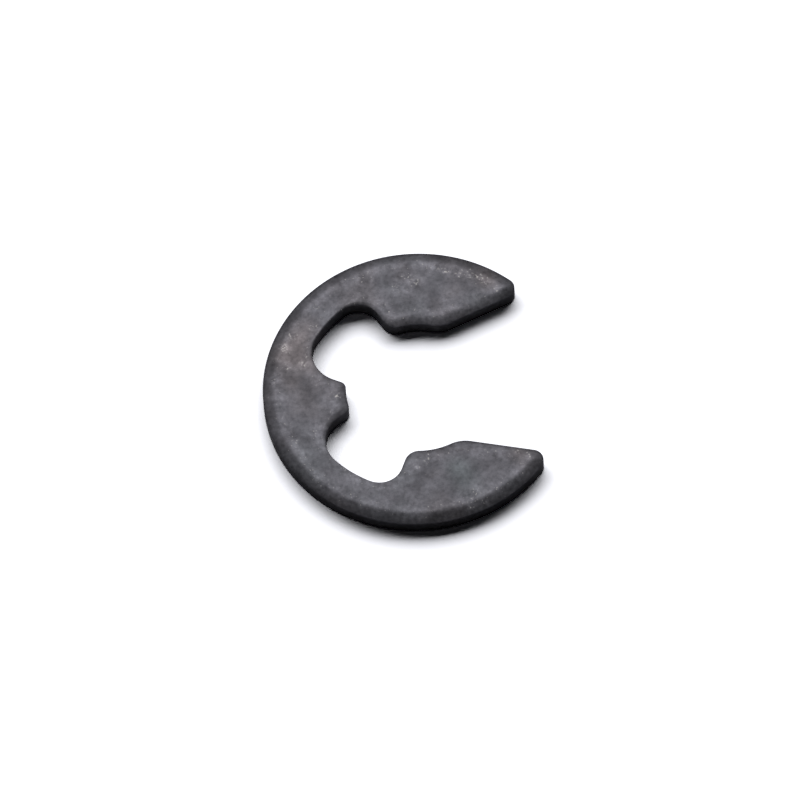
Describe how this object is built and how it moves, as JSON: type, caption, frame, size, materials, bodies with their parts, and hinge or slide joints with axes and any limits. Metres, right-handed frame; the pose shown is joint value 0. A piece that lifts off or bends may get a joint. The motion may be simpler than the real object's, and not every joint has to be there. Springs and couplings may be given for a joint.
{
  "type": "e-clip",
  "caption": "Flat e-shaped retaining ring of dark phosphated spring steel, with a flared mouth, gripping prongs, a central tooth and relief lobes, pushed sideways into a shaft's groove.",
  "frame": {"origin": "on the shaft's axis, at the ring's underside", "axes": "+Z along the shaft's axis and out of the ring's rolled upper face, +X out through the mouth"},
  "size_m": [0.0105, 0.012, 0.0008],
  "materials": {
    "spring_steel": "matt dark grey phosphate over tumbled spring steel"
  },
  "bodies": {
    "root": {"e_clip": "spring_steel"}
  },
  "joints": []
}
